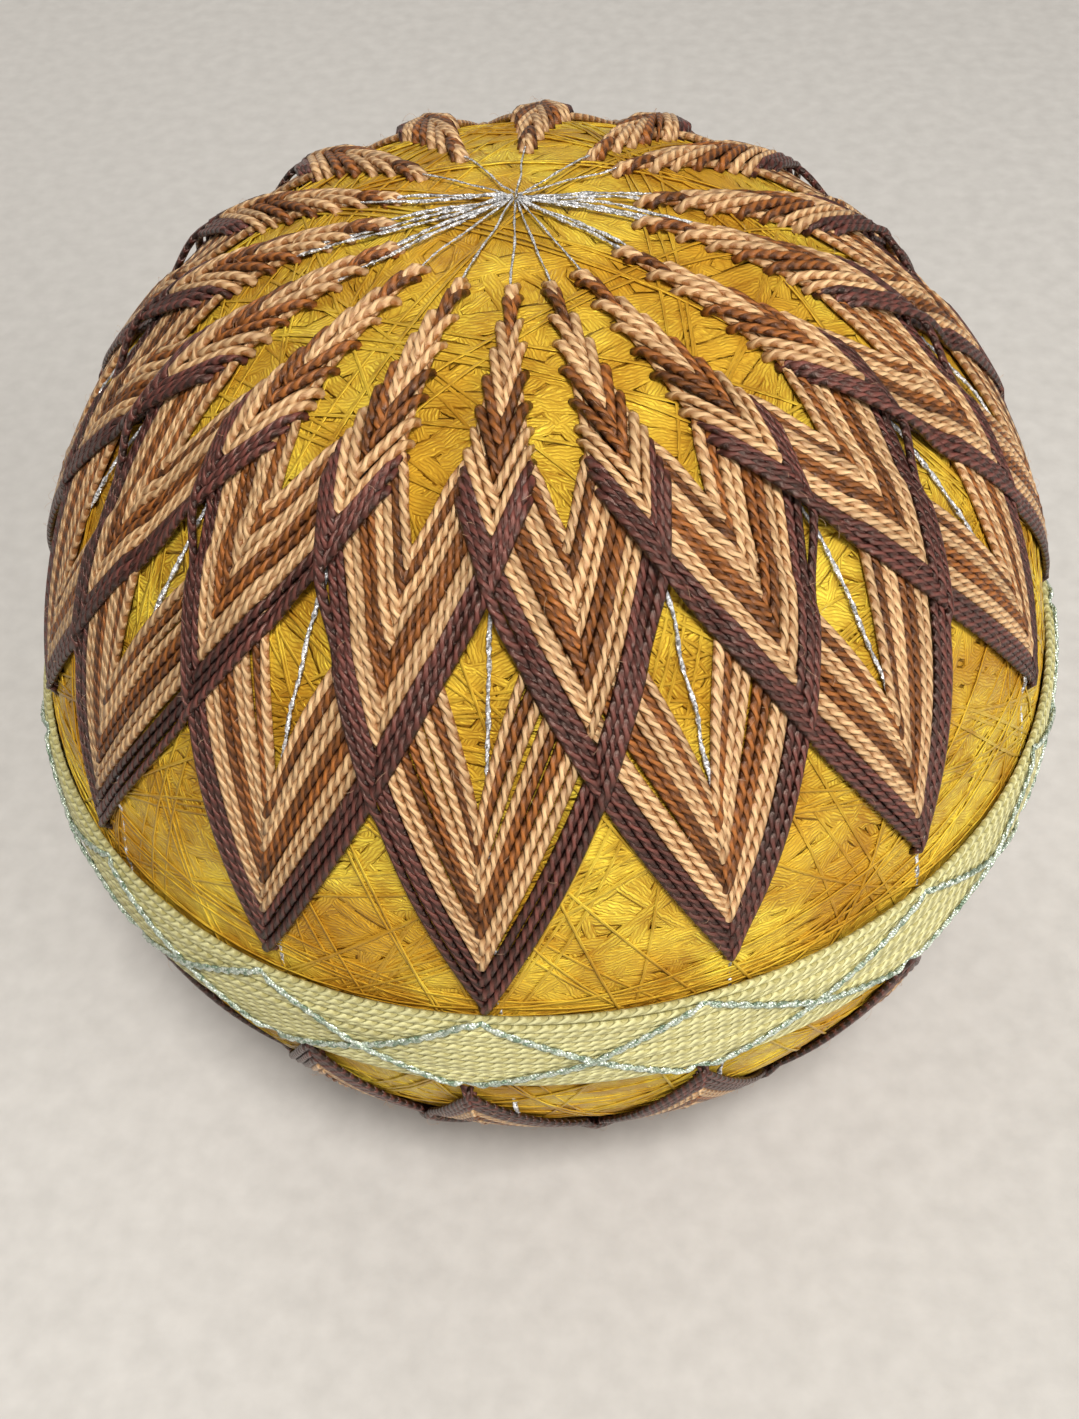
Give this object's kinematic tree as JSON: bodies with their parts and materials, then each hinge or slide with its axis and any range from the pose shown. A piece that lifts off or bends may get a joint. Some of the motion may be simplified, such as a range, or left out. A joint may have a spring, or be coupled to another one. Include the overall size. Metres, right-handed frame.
{
  "type": "temari ball",
  "caption": "Thread-wound decorative ball with an interlaced chrysanthemum of stitched rows on each half and a pale wound belt crossed by metallic zigzags.",
  "frame": {"origin": "middle of the small flat spot that the ball rests on, under the ball's centre", "axes": "+Z along the axis through the two kiku poles, up; -Y towards the petal that the picture shows in front"},
  "size_m": [0.0816, 0.0816, 0.0782],
  "materials": {
    "golden_thread": "fine glossy golden yellow sewing thread, wound at random",
    "brown_thread": "glossy two-ply embroidery cotton in tan, brown, cream and dark plum rows",
    "pale_thread": "pale cream-yellow embroidery cotton in level rows",
    "silver_thread": "fine sparkling silver marking thread",
    "mint_metallic_thread": "pale mint metallic thread with white sparkles"
  },
  "bodies": {
    "root": {"wound_ball": "golden_thread", "marking_star_north": "silver_thread", "kiku_north": "brown_thread", "kiku_south": "brown_thread", "belt": "pale_thread", "belt_zigzag": "mint_metallic_thread"}
  },
  "joints": []
}
